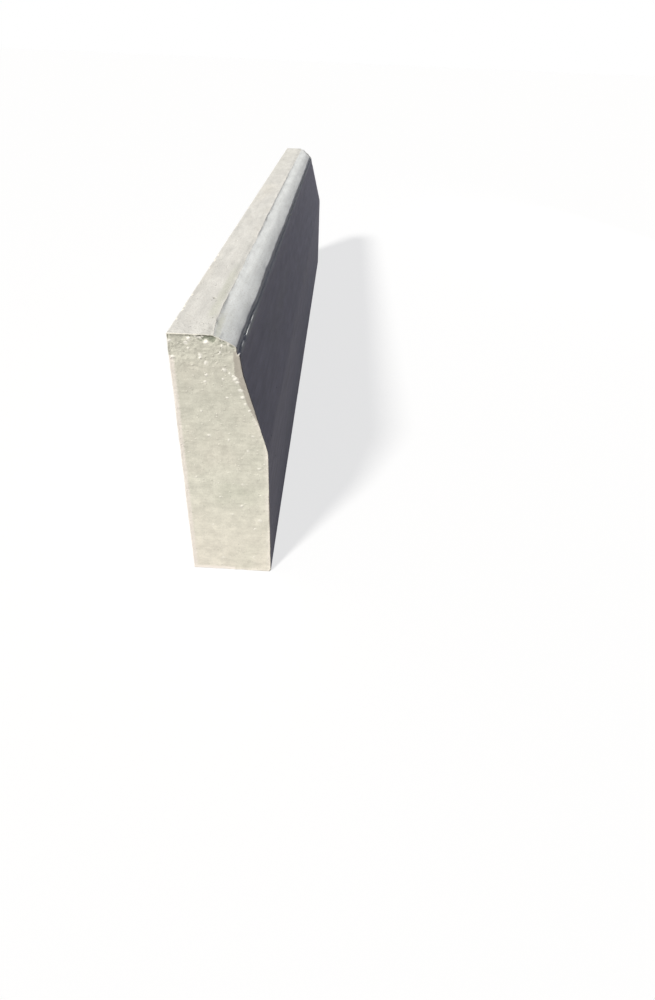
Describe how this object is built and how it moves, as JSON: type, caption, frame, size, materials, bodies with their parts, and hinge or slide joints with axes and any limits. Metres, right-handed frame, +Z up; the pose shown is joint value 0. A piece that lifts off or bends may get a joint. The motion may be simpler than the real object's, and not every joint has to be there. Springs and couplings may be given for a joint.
{
  "type": "concrete kerb stone",
  "caption": "Straight precast kerb stone: flat crown, smooth round nose, battered road face over an upright check, plane back, foot and ends.",
  "frame": {"origin": "middle of the foot, at ground level", "axes": "+X from the back face to the road face, +Y along the kerb, +Z up"},
  "size_m": [0.075, 0.914, 0.255],
  "materials": {
    "concrete": "matt cast concrete, pale cream grey, smooth at the nose"
  },
  "bodies": {
    "root": {"kerb_stone": "concrete"}
  },
  "joints": []
}
